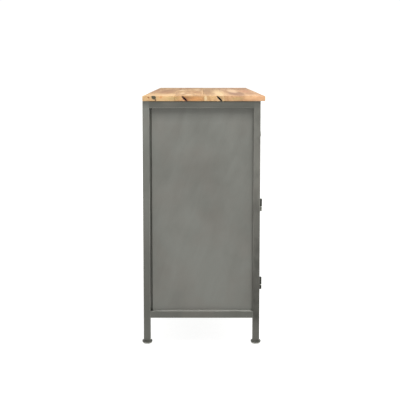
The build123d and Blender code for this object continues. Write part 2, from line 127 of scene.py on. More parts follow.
def brushedLacqueredSteel(name, light, dark, lean=16, fade=0.0, blotches=0.0, crown=(80, 10, 0.0)):
    # mild steel, wire-brushed by hand under satin clear lacquer: soft grey clouds, slanting
    # wipes, bright arrises (partly rubbed wear, partly a painted highlight) and painted shade toward the
    # floor;
    # crown is a band of painted shade under the top: where it starts and is full, in mm below, and how dark
    material, tree, shader, place = newMaterial(name)
    leaning = addNode(tree, "Mapping", {"Vector": place, "Scale": steel["smear"],
                                        "Rotation": (math.radians(lean), 0.25, 0)})
    along = addNode(tree, "Mapping", {"Vector": place, "Scale": steel["brush"],
                                      "Rotation": (math.radians(lean / 3), 0.1, 0)})
    spotted = addNode(tree, "Mapping", {"Vector": place, "Scale": steel["blotch"]})
    clouds = addNode(tree, "TexNoise", {"Vector": place, "Scale": 1 / steel["cloud"], "Detail": 3.0})
    smears = addNode(tree, "TexNoise", {"Vector": leaning, "Scale": 1.0, "Detail": 3.0, "Distortion": 0.5})
    brush = addNode(tree, "TexNoise", {"Vector": along, "Scale": 1.0, "Detail": 2.0})
    spots = addNode(tree, "TexNoise", {"Vector": spotted, "Scale": 1.0, "Detail": 3.0, "Roughness": 0.6})
    warm = addNode(tree, "TexNoise", {"Vector": place, "Scale": 1 / steel["warm"], "Detail": 2.0})
    tone = addNode(tree, "MapRange", {0: clouds, 1: 0.36, 2: 0.64, 4: 0.5})
    smearTone = addNode(tree, "MapRange", {0: smears, 1: 0.34, 2: 0.66, 4: 0.5})
    brushTone = addNode(tree, "MapRange", {0: brush, 1: 0.3, 2: 0.7, 3: -0.08, 4: 0.08})
    for more in (smearTone, brushTone):
        tone = addNode(tree, "Math", {0: tone, 1: more})
    height = addNode(tree, "SeparateXYZ", {0: place}, output="Z")
    # dark cover: spotted wear, then painted shade toward the floor and a band of painted shade under the top
    wearAndShade = addNode(tree, "MapRange", {0: spots, 1: 0.48, 2: 0.66, 4: blotches})
    bands = [(*steel["paintedFloorShade"], fade, 0.0), (*steel["leg"], -0.25 * fade, 0.0),
             (slabLow.z - crown[0] * mm, slabLow.z - crown[1] * mm, 0.0, crown[2])]
    for low, high, atLow, atHigh in bands:
        band = addNode(tree, "MapRange", {0: height, 1: low, 2: high, 3: atLow, 4: atHigh})
        wearAndShade = addNode(tree, "Math", {0: wearAndShade, 1: band})
    # rounded corners face between the axes, so no part of their normal comes near 1
    soft = addNode(tree, "Bevel", {"Radius": steel["arris"]})
    soft = addNode(tree, "VectorTransform", {0: soft}, vector_type="NORMAL", convert_from="WORLD",
                   convert_to="OBJECT")
    soft = addNode(tree, "VectorMath", {0: soft}, operation="ABSOLUTE")
    squarest = 0.0
    for axis in "XYZ":
        part = addNode(tree, "SeparateXYZ", {0: soft}, output=axis)
        squarest = addNode(tree, "Math", {0: part, 1: squarest}, operation="MAXIMUM")
    # lighter arrises: partly rubbed wear, partly a painted highlight where the rounded corners catch the
    # light
    arris = addNode(tree, "MapRange", {0: squarest, 1: 0.985, 2: 0.85, 4: steel["edgeWearAndHighlight"]})
    patchy = addNode(tree, "MapRange", {0: smears, 1: 0.36, 2: 0.56})
    arris = addNode(tree, "Math", {0: arris, 1: patchy}, operation="MULTIPLY")
    warm = addNode(tree, "MapRange", {0: warm, 1: 0.45, 2: 0.65, 4: 0.18})
    colour = addNode(tree, "Mix", {0: tone, 1: dark, 2: light})
    for cover, over in ((warm, "warmTint"), (wearAndShade, "darkTint"), (arris, "edgeWearAndHighlightTint")):
        colour = addNode(tree, "Mix", {0: cover, 1: colour, 2: steel[over]})
    rough = steel["roughness"]
    roughness = addNode(tree, "MapRange", {0: smears, 1: 0.3, 2: 0.7, 3: rough - 0.06, 4: rough + 0.1})
    finishSurface(tree, shader, colour, roughness, brush, steel)
    return material


panelSteel = brushedLacqueredSteel("brushedLacqueredSteelPanel", "7d7e78", "6d6d67", lean=17, fade=0.16,
                                   crown=(76, 20, 0.42))  # painted shade under the top rail
# the posts' crowns are painted shade under the slab
backPostSteel = brushedLacqueredSteel("brushedLacqueredSteelBackPost", "80817b", "6f706a", lean=6,
                                      fade=0.66, crown=(29, 8, 0.42))
frontPostSteel = brushedLacqueredSteel("brushedLacqueredSteelFrontPost", "807f78", "6a6a64", lean=6,
                                       fade=0.82, blotches=0.25, crown=(29, 8, 0.34))
railSteel = brushedLacqueredSteel("brushedLacqueredSteelRail", "61615b", "4e4f49", lean=80)
frontSteel = brushedLacqueredSteel("brushedLacqueredSteelFront", "7a7b73", "63645e", lean=22, fade=0.15,
                                   blotches=0.12)
innerSteel = brushedLacqueredSteel("brushedLacqueredSteelInside", "74756f", "5c5d57", lean=60)


def smallMetal(name, light, dark, look):
    # small turned, cast or plated pieces: mottled tone, broken-up gloss and a fine relief
    material, tree, shader, place = newMaterial(name)
    mottle = addNode(tree, "TexNoise", {"Vector": place, "Scale": 1 / look["mottle"], "Detail": 4.0})
    grain = addNode(tree, "Mapping", {"Vector": place, "Scale": look["grain"]})
    grain = addNode(tree, "TexNoise", {"Vector": grain, "Scale": 1.0, "Detail": 3.0})
    mottleTone = addNode(tree, "MapRange", {0: mottle, 1: 0.32, 2: 0.68, 4: 0.75})
    grainTone = addNode(tree, "MapRange", {0: grain, 1: 0.3, 2: 0.7, 4: 0.3})
    tone = addNode(tree, "Math", {0: mottleTone, 1: grainTone})
    colour = addNode(tree, "Mix", {0: tone, 1: dark, 2: light})
    # lighter edges: partly worn bare metal, partly a painted highlight
    soft = addNode(tree, "Bevel", {"Radius": look["edge"] * 2})
    plain = addNode(tree, "NewGeometry", output="True Normal")
    turned = addNode(tree, "VectorMath", {0: soft, 1: plain}, operation="DOT_PRODUCT", output="Value")
    arris = addNode(tree, "MapRange", {0: turned, 1: 0.98, 2: 0.85, 4: look["edgeWearAndHighlight"]})
    colour = addNode(tree, "Mix", {0: arris, 1: colour, 2: look["edgeWearAndHighlightTint"]})
    rough = look["roughness"]
    roughness = addNode(tree, "MapRange", {0: mottle, 1: 0.3, 2: 0.7, 3: rough - 0.08, 4: rough + 0.08})
    finishSurface(tree, shader, colour, roughness, grain, look)
    return material


turnedFinish = {"mottle": 6 * mm, "grain": (3 * mm, 3 * mm, 0.5 * mm),  # lathe rings, drawn at 0.5 mm
                "metallic": 0.7, "roughness": 0.42, "coat": 0.05, "coatRoughness": 0.4, "edge": 0.25 * mm,
                "reliefStrength": 0.25, "reliefDepth": 0.08 * mm, "edgeWearAndHighlight": 0.5, "edgeWearAndHighlightTint": "8d8d86"}
castFinish = {"mottle": 5 * mm, "grain": (1.1 * mm,) * 3,  # sand-cast skin under the plating
              "metallic": 0.85, "roughness": 0.4, "coat": 0.0, "coatRoughness": 0.3, "edge": 0.4 * mm,
              "reliefStrength": 0.3, "reliefDepth": 0.15 * mm, "edgeWearAndHighlight": 0.4, "edgeWearAndHighlightTint": "cfcec6"}
platedFinish = {"mottle": 9 * mm, "grain": (4 * mm, 30 * mm, 1.2 * mm),  # drawing lines along the runner
                "metallic": 0.9, "roughness": 0.34, "coat": 0.0, "coatRoughness": 0.3, "edge": 0.25 * mm,
                "reliefStrength": 0.12, "reliefDepth": 0.06 * mm, "edgeWearAndHighlight": 0.2, "edgeWearAndHighlightTint": "d8dadb"}
footFinish = dict(turnedFinish, metallic=0.4, roughness=0.5, edgeWearAndHighlight=0.3, mottle=9 * mm)
weldFinish = {"mottle": 4 * mm, "grain": (1 * mm,) * 3,
              "metallic": 0.6, "roughness": 0.44, "coat": 0.1, "coatRoughness": 0.35, "edge": 0.3 * mm,
              "reliefStrength": 0.35, "reliefDepth": 0.15 * mm, "edgeWearAndHighlight": 0.3, "edgeWearAndHighlightTint": "8f8e87"}
# dark barrels with bright arrises, and a paler copy, a painted highlight where light falls on the upper
# hinges' frame barrels
hingeSteel = smallMetal("blackenedTurnedSteel", "4c4c46", "2c2c28", turnedFinish)
litHingeSteel = smallMetal("litTurnedSteel", "a3a29a", "77776f", turnedFinish)
washerSteel = smallMetal("brightTurnedSteel", "e6e6e0", "bcbcb5",
                         dict(turnedFinish, roughness=0.3, metallic=0.9))
handleNickel = smallMetal("satinNickelCastIron", "b4b3aa", "8b8a82", castFinish)  # soft, warm grey
runnerZinc = smallMetal("zincPlatedSteel", "b9bcbd", "8d9193", platedFinish)  # cool grey with drawn lines
screwZinc = smallMetal("zincPlatedScrew", "b0b1ae", "7d7f80", dict(platedFinish, grain=(0.8 * mm,) * 3))
footSteel = smallMetal("lacqueredTurnedSteel", "52534c", "3b3c35", footFinish)
weldSteel = smallMetal("lacqueredWeldBead", "66665f", "45453f", weldFinish)


nylon = {
    "spark": 0.7 * mm,                       # spark-eroded grain of the mould
    "scuff": (16 * mm, 16 * mm, 2.5 * mm),   # where it has been pushed about
    "paintedContactShadow": (2.4 * mm, 1.3 * mm, 0.9), "paintedContactShadowTint": "3a3a35",  # painted contact shadow where it meets the floor
    "metallic": 0.0, "coat": 0.0, "coatRoughness": 0.3,
    "edge": 0.4 * mm, "reliefStrength": 0.2, "reliefDepth": 0.08 * mm,
}


def mouldedNylon(name, light, dark, roughness):
    # injection-moulded nylon: even colour, a fine even grain, scuffs where it slides
    material, tree, shader, place = newMaterial(name)
    grain = addNode(tree, "TexNoise", {"Vector": place, "Scale": 1 / nylon["spark"], "Detail": 2.0})
    scuffs = addNode(tree, "Mapping", {"Vector": place, "Scale": nylon["scuff"]})
    scuffs = addNode(tree, "TexNoise", {"Vector": scuffs, "Scale": 1.0, "Detail": 3.0})
    tone = addNode(tree, "MapRange", {0: scuffs, 1: 0.35, 2: 0.7})
    colour = addNode(tree, "Mix", {0: tone, 1: dark, 2: light})
    # painted contact shadow: the lowest couple of mm darken where a glide stands on the floor
    height = addNode(tree, "SeparateXYZ", {0: place}, output="Z")
    clean, dirty, amount = nylon["paintedContactShadow"]
    paintedContactShadow = addNode(tree, "MapRange", {0: height, 1: clean, 2: dirty, 4: amount})
    colour = addNode(tree, "Mix", {0: paintedContactShadow, 1: colour, 2: nylon["paintedContactShadowTint"]})
    gloss = addNode(tree, "MapRange", {0: scuffs, 1: 0.3, 2: 0.7, 3: roughness, 4: roughness + 0.14})
    finishSurface(tree, shader, colour, gloss, grain, nylon)
    return material


glideNylon = mouldedNylon("mouldedGreyNylon", "d2d2ca", "b9b9b0", 0.38)
catchNylon = mouldedNylon("mouldedBlackNylon", "2c2c2d", "1b1b1c", 0.44)
print("metal and nylon materials made")


def newMesh(name, bm):
    mesh = bpy.data.meshes.new(name)
    bm.to_mesh(mesh)
    bm.free()
    return mesh


def newObject(name, data):
    made = bpy.data.objects.new(name, data)
    bpy.context.scene.collection.objects.link(made)
    return made


def keepPiece(name, bm, material, body, replaces=(), sharp=38):
    # turns the mesh into one named piece that rides a body, and hides the nodes it replaces
    bmesh.ops.recalc_face_normals(bm, faces=bm.faces)
    mesh = newMesh(name, bm)
    mesh.polygons.foreach_set("use_smooth", [True] * len(mesh.polygons))
    mesh.set_sharp_from_angle(angle=math.radians(sharp))
    mesh.materials.append(material)
    piece = newObject(name, mesh)
    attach(piece, body)
    if replaces:
        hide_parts(*replaces)
    return piece


def addBlock(bm, low, high, rounding=0.0, steps=3):
    verts = bmesh.ops.create_cube(bm, size=1.0)["verts"]
    for vert in verts:
        vert.co = Vector([l + (c + 0.5) * (h - l) for c, l, h in zip(vert.co, low, high)])
    if rounding:
        edges = list({edge for vert in verts for edge in vert.link_edges})
        bmesh.ops.bevel(bm, geom=edges, offset=rounding, segments=steps, profile=0.5, affect="EDGES")


def joinRings(bm, rings, closed=True):
    # a skin over rows of corners; closed rows run all the way round and are capped at both ends
    for first, second in zip(rings, rings[1:]):
        span = max(len(first), len(second))
        for i in range(span if closed else span - 1):
            j = i + 1
            corners = (first[i % len(first)], first[j % len(first)], second[j % len(second)],
                       second[i % len(second)])
            bm.faces.new(list(dict.fromkeys(corners)))
    for ring in (rings[0], rings[-1]):
        if closed and len(ring) > 1:
            bm.faces.new(ring)


def addTurned(bm, profile, base, axis=(0, 0, 1), segments=36):
    # a turned body: the profile is a list of (radius, height) along the axis from base
    turn = Vector((0, 0, 1)).rotation_difference(Vector(axis))
    rings = []
    for radius, height in profile:
        angles = [2 * math.pi * i / segments for i in range(segments if radius > 1e-6 else 1)]
        points = [Vector((radius * math.cos(a), radius * math.sin(a), height)) for a in angles]
        rings.append([bm.verts.new(Vector(base) + turn @ point) for point in points])
    joinRings(bm, rings)


def arcPoints(centre, radius, start, end, steps=6):
    # points of a profile along an arc; angles in degrees from the outward radius
    angles = [math.radians(start + (end - start) * i / steps) for i in range(steps + 1)]
    return [(centre[0] + radius * math.cos(a), centre[1] + radius * math.sin(a)) for a in angles]


bead = {"scale": 3.0 * mm, "stepsPerScale": 4, "points": 8}  # one scale is one dip of the rod


def addWeld(bm, start, end, outward, size, seed):
    # a hand-laid bead: overlapping scales along an inside corner, seen from outward
    rng = random.Random(seed)
    start, end, outward = Vector(start), Vector(end), Vector(outward).normalized()
    run = end - start
    sideways = run.normalized().cross(outward)
    steps = max(3, round(run.length / bead["scale"])) * bead["stepsPerScale"]
    angles = [2 * math.pi * k / bead["points"] for k in range(bead["points"])]
    rings = []
    for i in range(steps + 1):
        wave = abs(math.sin(math.pi * i / bead["stepsPerScale"] + 0.4))
        ripple = 0.84 + 0.16 * wave + rng.uniform(-0.04, 0.04)
        taper = min(1.0, 0.4 + 3 * i / steps, 0.4 + 3 * (steps - i) / steps)
        radius = size * taper * ripple
        centre = start + run * (i / steps)
        rings.append([bm.verts.new(centre + (outward * math.sin(a) + sideways * math.cos(a)) * radius)
                      for a in angles])
    joinRings(bm, rings)


screw = {
    "rise": 0.42, "slotWidth": 0.2,  # shares of the head's radius
    "slotDepth": 0.55,               # share of the rise
    "arc": 16,                       # faces round each half
    "dome": ((1.0, 0.0), (0.97, 0.35), (0.85, 0.72), (0.62, 0.93), (0.34, 1.0), (0.0, 1.0)),
}


def addScrew(bm, centre, axis, radius, slotTurn):
    # a slotted screw head, domed, standing proud of the face along axis
    height, half = radius * screw["rise"], radius * screw["slotWidth"] / 2
    floor = height * (1 - screw["slotDepth"])
    upright = Vector((0, 0, 1)).rotation_difference(Vector(axis)).to_matrix()
    turn = upright @ Matrix.Rotation(slotTurn, 3, "Z")
    angles = [math.pi * i / screw["arc"] for i in range(screw["arc"] + 1)]
    for side in (-1, 1):  # two halves, with the slot open between them
        rings = [[(radius * share * math.cos(a), max(radius * share * math.sin(a), half) * side,
                   height * lift) for a in angles] for share, lift in screw["dome"]]
        rings.append([(radius * math.cos(a), half * side, floor) for a in angles])
        joinRings(bm, [[bm.verts.new(Vector(centre) + turn @ Vector(point)) for point in ring]
                       for ring in rings], closed=False)
    addTurned(bm, [(radius * 0.9, 0), (radius * 0.9, floor), (0, floor)], centre, axis, 24)


def carriedFinish(name):
    # the finish of a node that keeps its own mesh
    if name.startswith("post_back"):
        return backPostSteel
    if name.startswith(("post_front", "divider_")) or name.endswith("_frame"):
        return frontPostSteel
    if name.startswith(("end_rail", "front_rail", "back_rail")) or name == "drawer_rails":
        return railSteel
    if name.startswith(("end_panel", "back_panel")):
        return panelSteel
    if name.startswith("door") and name.endswith("_panel"):
        return frontSteel
    if name.endswith("runner_rails") or name == "runner_channels":
        return runnerZinc
    return screwZinc if name in ("hinge_pins", "top_screws") else innerSteel


for name, node in nodes.items():
    node.data.materials.clear()
    node.data.materials.append(carriedFinish(name))
print("carried nodes dressed")


wood = {
    "sway": (420 * mm, 70 * mm, 70 * mm),    # how the growth lines wander
    "figure": (380 * mm, 34 * mm, 40 * mm),  # one change of tone along a board
    "curl": (190 * mm, 13 * mm, 15 * mm),    # wavy light and dark bands
    "fibre": (90 * mm, 1.1 * mm, 1.1 * mm),  # bundles 0.3 mm wide on the real board, drawn coarser
    "pore": (13 * mm, 0.9 * mm, 0.9 * mm),   # 0.2 mm across on the real board, drawn coarser
    "ring": 6 * mm,                          # between growth lines
    "poreTint": "6b4627",
    "metallic": 0.0, "roughness": 0.66, "coat": 0.0, "coatRoughness": 0.45,
    "edge": 0.5 * mm, "reliefStrength": 0.2, "reliefDepth": 0.3 * mm,
}
boards = [  # from the back to the front; width is each board's share of the depth
    {"width": 0.26, "pale": "c8a06d", "deep": "a87a4d", "line": "8d6440", "heart": 0.35},
    {"width": 0.24, "pale": "caa26e", "deep": "ab7c4f", "line": "936a45", "heart": 0.8},
    {"width": 0.17, "pale": "caa471", "deep": "ac8256", "line": "8f6846", "heart": 0.1},
    {"width": 0.33, "pale": "cda477", "deep": "b1845a", "line": "95694b", "heart": 0.6},
]
# Marks in the wood: along is measured from the left end and share from the back, up is in mm
# from the middle of the thickness, size holds three radii, turn is a tilt in degrees
faceMarks = [
    dict(along=0.10, share=0.16, size=(0.30, 0.10, 0.02), colour="dbb885", amount=0.55, soft=0.7),
    dict(along=0.76, share=0.155, size=(0.42, 0.032, 0.05), colour="97673e", amount=0.75, soft=0.35),
    dict(along=0.97, share=0.03, size=(0.20, 0.012, 0.05), colour="965a37", amount=0.6, soft=0.5),
    dict(along=1.07, share=0.28, size=(0.12, 0.012, 0.05), colour="e2c59a", amount=0.7, soft=0.6),
    dict(along=1.13, share=0.44, size=(0.13, 0.011, 0.05), colour="e2c59a", amount=0.7, soft=0.6),
    dict(along=0.45, share=0.31, size=(0.16, 0.009, 0.05), colour="dfc093", amount=0.6, soft=0.6),
    dict(along=0.24, share=0.37, size=(0.11, 0.013, 0.05), colour="e0c396", amount=0.6, soft=0.6),
    dict(along=0.62, share=0.42, size=(0.2, 0.012, 0.05), colour="a06f43", amount=0.45, soft=0.6),
    dict(along=1.68, share=0.45, size=(0.10, 0.09, 0.05), colour="8f6237", amount=0.7, soft=0.6),
    dict(along=0.75, share=0.538, size=(0.46, 0.016, 0.05), colour="9b7146", amount=0.7, soft=0.3),
    dict(along=0.55, share=0.645, size=(0.60, 0.021, 0.05), colour="e0c08f", amount=0.7, soft=0.5),
    dict(along=0.40, share=0.79, size=(0.42, 0.031, 0.05), colour="8a6042", amount=0.8, soft=0.25),
    dict(along=0.88, share=0.785, size=(0.36, 0.019, 0.05), colour="e3bf96", amount=0.8, soft=0.45),
    dict(along=0.84, share=0.905, size=(0.26, 0.022, 0.05), colour="bd7d5a", amount=0.5, soft=0.7),
    dict(along=1.35, share=0.93, size=(0.3, 0.02, 0.05), colour="a87851", amount=0.5, soft=0.6),
]
leftEndMarks = [
    dict(share=0.245, size=(0.02, 0.020, 0.006), colour="aa935e", amount=0.55, soft=0.8),
    dict(share=0.151, up=4.5, size=(0.012, 0.004, 0.004), colour="c17a40", amount=0.7, soft=0.7),
    dict(share=0.43, up=-1, size=(0.02, 0.026, 0.007), colour="c98a51", amount=0.6, soft=0.5),
    dict(share=0.47, up=-5, size=(0.02, 0.012, 0.0016), colour="ac733f", amount=0.6, soft=0.7),
    dict(share=0.515, size=(0.04, 0.005, 0.010), colour="dfc89d", amount=0.65, soft=0.6),
    dict(share=0.77, size=(0.02, 0.018, 0.005), colour="b09a62", amount=0.5, soft=0.8),
    dict(share=0.94, size=(0.06, 0.035, 0.012), colour="dcab80", amount=0.6, soft=0.8),
    dict(share=0.0497, up=3.6, turn=40, size=(0.012, 0.0034, 0.0023), colour="87411f", amount=0.9, soft=0.5),
    dict(share=0.093, up=3.4, turn=-55, size=(0.02, 0.0070, 0.0088), colour="403e2b", amount=0.97, soft=0.25),
    dict(share=0.108, up=-5.6, turn=30, size=(0.012, 0.0030, 0.0030), colour="4c2411", amount=0.9, soft=0.5),
    dict(share=0.352, up=-3, turn=-49, size=(0.02, 0.0065, 0.0125), colour="a86034", amount=0.6, soft=0.5),
    dict(share=0.342, turn=-49, size=(0.02, 0.0036, 0.0135), colour="3a1408", amount=1.0, soft=0.2,
         groove=0.5),
    dict(share=0.628, turn=-45.6, size=(0.03, 0.0034, 0.0135), colour="120903", amount=1.0, soft=0.12,
         groove=1.0),
]
rightEndMarks = [
    dict(share=0.27, turn=30, size=(0.03, 0.0024, 0.011), colour="4a2411", amount=0.95, soft=0.3,
         groove=0.35),
    dict(share=0.72, up=1, size=(0.025, 0.0075, 0.006), colour="5d5240", amount=0.9, soft=0.4),
    dict(share=0.45, size=(0.03, 0.024, 0.006), colour="c38e58", amount=0.5, soft=0.7),
]
woodMarks = faceMarks + [dict(mark, along=0.0) for mark in leftEndMarks]
woodMarks += [dict(mark, along=slabHigh.x - slabLow.x) for mark in rightEndMarks]


def waxedMango(number, look, marks):
    # mango, planed, sanded and waxed: cream to brown figure, wandering growth lines, short
    # dark pores along the grain, dots of them on the ends, and a dull sheen
    material, tree, shader, place = newMaterial(f"waxedMangoBoard{number}")
    shift = (number * 1.3, number * 0.41, number * 0.29)
    moved = addNode(tree, "Mapping", {"Vector": place, "Location": shift}, vector_type="POINT")
    drawn = {key: addNode(tree, "Mapping", {"Vector": moved, "Scale": wood[key]})
             for key in ("sway", "figure", "curl", "fibre", "pore")}
    figure = addNode(tree, "TexNoise", {"Vector": drawn["figure"], "Scale": 1.0, "Detail": 3.0,
                                        "Distortion": 0.9})
    curl = addNode(tree, "TexNoise", {"Vector": drawn["curl"], "Scale": 1.0, "Detail": 2.0,
                                      "Distortion": 1.4})
    fibre = addNode(tree, "TexNoise", {"Vector": drawn["fibre"], "Scale": 1.0, "Detail": 3.0,
                                       "Roughness": 0.6})
    pore = addNode(tree, "TexNoise", {"Vector": drawn["pore"], "Scale": 1.0, "Detail": 1.0})
    sway = addNode(tree, "TexNoise", {"Vector": drawn["sway"], "Scale": 1.0, "Detail": 2.0}, output="Color")
    sway = addNode(tree, "VectorMath", {0: sway, 1: (0.5, 0.5, 0.5)}, operation="SUBTRACT")
    swayed = addNode(tree, "VectorMath", {0: sway, 1: (0.10, 0.022, 0.022)}, operation="MULTIPLY")
    bent = addNode(tree, "VectorMath", {0: place, 1: swayed})
    aside = look["heart"] - 0.5
    heart = (0, slabHigh.y - look["middle"] * slabDepth + 0.05 * aside, slabLow.z - 0.03)
    centred = addNode(tree, "Mapping", {"Vector": bent, "Location": heart,
                                        "Rotation": (0, 0.006, 0.01 * aside)})
    # the ring pattern repeats every 0.314 / Scale
    rings = addNode(tree, "TexWave", {"Vector": centred, "Scale": 0.314 / wood["ring"], "Distortion": 1.6,
                                      "Detail": 2.0, "Detail Scale": 1.2},
                    wave_type="RINGS", rings_direction="X", wave_profile="SIN")
    layers = [(figure, 0.40, 0.66, 1.0, "deep"), (curl, 0.46, 0.68, 0.5, "line"),
              (rings, 0.35, 1.0, 0.24, "line"), (fibre, 0.42, 0.72, 0.2, "line")]
    colour = look["pale"]
    for pattern, start, full, amount, tint in layers:
        cover = addNode(tree, "MapRange", {0: pattern, 1: start, 2: full, 4: amount})
        colour = addNode(tree, "Mix", {0: cover, 1: colour, 2: look[tint]})
    torn = addNode(tree, "MapRange", {0: fibre, 1: 0.3, 2: 0.7, 3: -0.16, 4: 0.16})
    for mark in marks:
        centre = (slabLow.x + mark["along"], slabHigh.y - mark["share"] * slabDepth,
                  (slabLow.z + slabHigh.z) / 2 + mark.get("up", 0) * mm)
        ragged = addNode(tree, "VectorMath", {0: sway, 1: [0.5 * s for s in mark["size"]]},
                         operation="MULTIPLY")
        near = addNode(tree, "VectorMath", {0: place, 1: ragged})
        near = addNode(tree, "Mapping", {"Vector": near, "Location": centre, "Scale": mark["size"],
                                         "Rotation": (math.radians(mark.get("turn", 0)), 0, 0)})
        far = addNode(tree, "VectorMath", {0: near}, operation="LENGTH", output="Value")
        far = addNode(tree, "Math", {0: far, 1: torn})
        cover = addNode(tree, "MapRange", {0: far, 1: 1 + mark["soft"], 2: 1 - mark["soft"],
                                           4: mark["amount"]}, interpolation_type="SMOOTHSTEP")
        colour = addNode(tree, "Mix", {0: cover, 1: colour, 2: mark["colour"]})
    dots = addNode(tree, "MapRange", {0: pore, 1: 0.67, 2: 0.74, 4: 0.4})
    colour = addNode(tree, "Mix", {0: dots, 1: colour, 2: wood["poreTint"]})
    rough = wood["roughness"]
    roughness = addNode(tree, "MapRange", {0: fibre, 1: 0.3, 2: 0.7, 3: rough + 0.08, 4: rough - 0.06})
    relief = addNode(tree, "MapRange", {0: fibre, 1: 0.3, 2: 0.7, 3: 0.5, 4: 1.0})
    finishSurface(tree, shader, colour, roughness, relief, wood)
    return material


slab = {
    "glueLine": 0.2 * mm,
    "rounding": 1.2 * mm,   # eased edges
    "sections": 56,         # divisions along a board, for its hand-sanded surface
    "uneven": 0.25 * mm,
    "grooveDepth": 9 * mm,
    "grooveGape": 0.72,     # of the mark's own width
    "grooveRun": 0.93,      # of the mark's own length
}


def cutGroove(board, mark):
    # opens the split in the end grain along its mark
    rng = random.Random(7)
    inward = 1 if mark["along"] < 0.5 else -1
    centre = Vector((slabLow.x + mark["along"], slabHigh.y - mark["share"] * slabDepth,
                     (slabLow.z + slabHigh.z) / 2))
    lean = -math.radians(mark["turn"])
    run, gape = mark["size"][2] * slab["grooveRun"], mark["size"][1] * slab["grooveGape"]
    edge = []
    for side in (-1, 1):
        for i in range(9):
            t = (i / 4 - 1) * side
            wide = gape * math.sqrt(max(0.02, 1 - t ** 4)) * rng.uniform(0.8, 1.1) * side
            edge.append((t * run * math.sin(lean) - wide * math.cos(lean),
                         t * run * math.cos(lean) + wide * math.sin(lean)))
    bm = bmesh.new()
    depth = slab["grooveDepth"] * mark["groove"]
    mouth = [bm.verts.new(centre + Vector((-inward * mm, y, z))) for y, z in edge]
    tip = [bm.verts.new(centre + Vector((inward * depth, y * 0.5, z * 0.7))) for y, z in edge]
    joinRings(bm, [mouth, tip])
    bmesh.ops.recalc_face_normals(bm, faces=bm.faces)
    cutter = newObject("grooveCutter", newMesh("grooveCutter", bm))
    cut = board.modifiers.new("groove", "BOOLEAN")
    cut.operation, cut.solver, cut.object = "DIFFERENCE", "EXACT", cutter
    bpy.context.view_layer.update()
    cutBoard = board.evaluated_get(bpy.context.evaluated_depsgraph_get())
    board.data = bpy.data.meshes.new_from_object(cutBoard)
    board.modifiers.clear()
    bpy.data.objects.remove(cutter)


def makeTop():
    rng = random.Random(11)
    fromBack = 0.0
    for number, look in enumerate(boards, 1):
        toFront = fromBack + look["width"]
        look["middle"] = (fromBack + toFront) / 2
        bm = bmesh.new()
        low = Vector((slabLow.x, slabHigh.y - toFront * slabDepth, slabLow.z))
        high = Vector((slabHigh.x, slabHigh.y - fromBack * slabDepth, slabHigh.z))
        if number > 1:
            high.y -= slab["glueLine"] / 2
        if number < len(boards):
            low.y += slab["glueLine"] / 2
        addBlock(bm, low, high)
        for i in range(1, slab["sections"]):
            x = low.x + (high.x - low.x) * i / slab["sections"]
            everything = bm.verts[:] + bm.edges[:] + bm.faces[:]
            bmesh.ops.bisect_plane(bm, geom=everything, plane_co=(x, 0, 0), plane_no=(1, 0, 0))
        corners = [e for e in bm.edges if e.is_manifold and e.calc_face_angle(0) > 1]
        bmesh.ops.bevel(bm, geom=corners, offset=slab["rounding"], segments=3, profile=0.5, affect="EDGES")
        phase = rng.uniform(0, 9)
        for vert in bm.verts:
            wave = math.sin(vert.co.x * 7 + phase) * 0.6 + math.sin(vert.co.x * 19 + phase * 2) * 0.4
            dip = slab["uneven"] * (0.5 + 0.5 * wave)
            if vert.co.z > high.z - slab["rounding"] - 1e-6:
                vert.co.z -= dip
            if number == len(boards) and vert.co.y < low.y + slab["rounding"] + 1e-6:
                vert.co.y += dip
        mine = [mark for mark in woodMarks if fromBack - 0.08 < mark["share"] < toFront + 0.08]
        material = waxedMango(number, look, mine)
        board = keepPiece(f"top_board_{number}", bm, material, "carcass", ["top_slab"])
        for mark in mine:
            if mark.get("groove") and fromBack < mark["share"] < toFront:
                cutGroove(board, mark)
        fromBack = toFront


makeTop()
print("top made of", len(boards), "boards")


foot = {"rimTop": 1.0 * mm, "rimUnder": 2.2 * mm, "glideRound": 2.0 * mm, "weld": 1.3 * mm,
        "weldInset": 1.5 * mm}


def makeFeet():
    discLow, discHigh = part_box("foot_discs")
    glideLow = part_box("foot_glides")[0]
    backLow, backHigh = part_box("post_back_left")
    top, under, bend = foot["rimTop"], foot["rimUnder"], foot["glideRound"]
    height, glideHeight = discHigh.z - discLow.z, discLow.z - glideLow.z
    for row, side in legNames:
        legLow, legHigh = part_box(f"post_{row}_{side}")
        centre = Vector(((legLow.x + legHigh.x) / 2, (legLow.y + legHigh.y) / 2, discHigh.z))
        radius = min(discHigh.x - abs(centre.x), discHigh.y - (backLow.y + backHigh.y) / 2)
        profile = [(0, 0)] + arcPoints((radius - under, under), under, -90, 0)
        profile += arcPoints((radius - top, height - top), top, 0, 90) + [(0, height)]
        bm = bmesh.new()
        addTurned(bm, profile, (centre.x, centre.y, discLow.z), segments=56)
        keepPiece(f"foot_disc_{row}_{side}", bm, footSteel, "carcass", ["foot_discs"])
        bm = bmesh.new()
        half = (legHigh.x - legLow.x) / 2
        corners = [centre + Vector((sx * half, sy * half, 0))
                   for sx, sy in ((-1, -1), (1, -1), (1, 1), (-1, 1))]
        for i, corner in enumerate(corners):
            following = corners[(i + 1) % 4]
            outward = ((corner + following) / 2 - centre).normalized() + Vector((0, 0, 1))
            inset = (following - corner).normalized() * foot["weldInset"]
            addWeld(bm, corner + inset, following - inset, outward, foot["weld"], 20 + i)
        keepPiece(f"foot_weld_{row}_{side}", bm, weldSteel, "carcass")
        reach = radius - under
        profile = [(0, 0)] + arcPoints((reach - bend, bend), bend, -90, 0)
        profile += [(reach, glideHeight), (0, glideHeight)]
        bm = bmesh.new()
        addTurned(bm, profile, (centre.x, centre.y, glideLow.z), segments=48)
        keepPiece(f"foot_glide_{row}_{side}", bm, glideNylon, "carcass", ["foot_glides"])


makeFeet()
print("feet made")


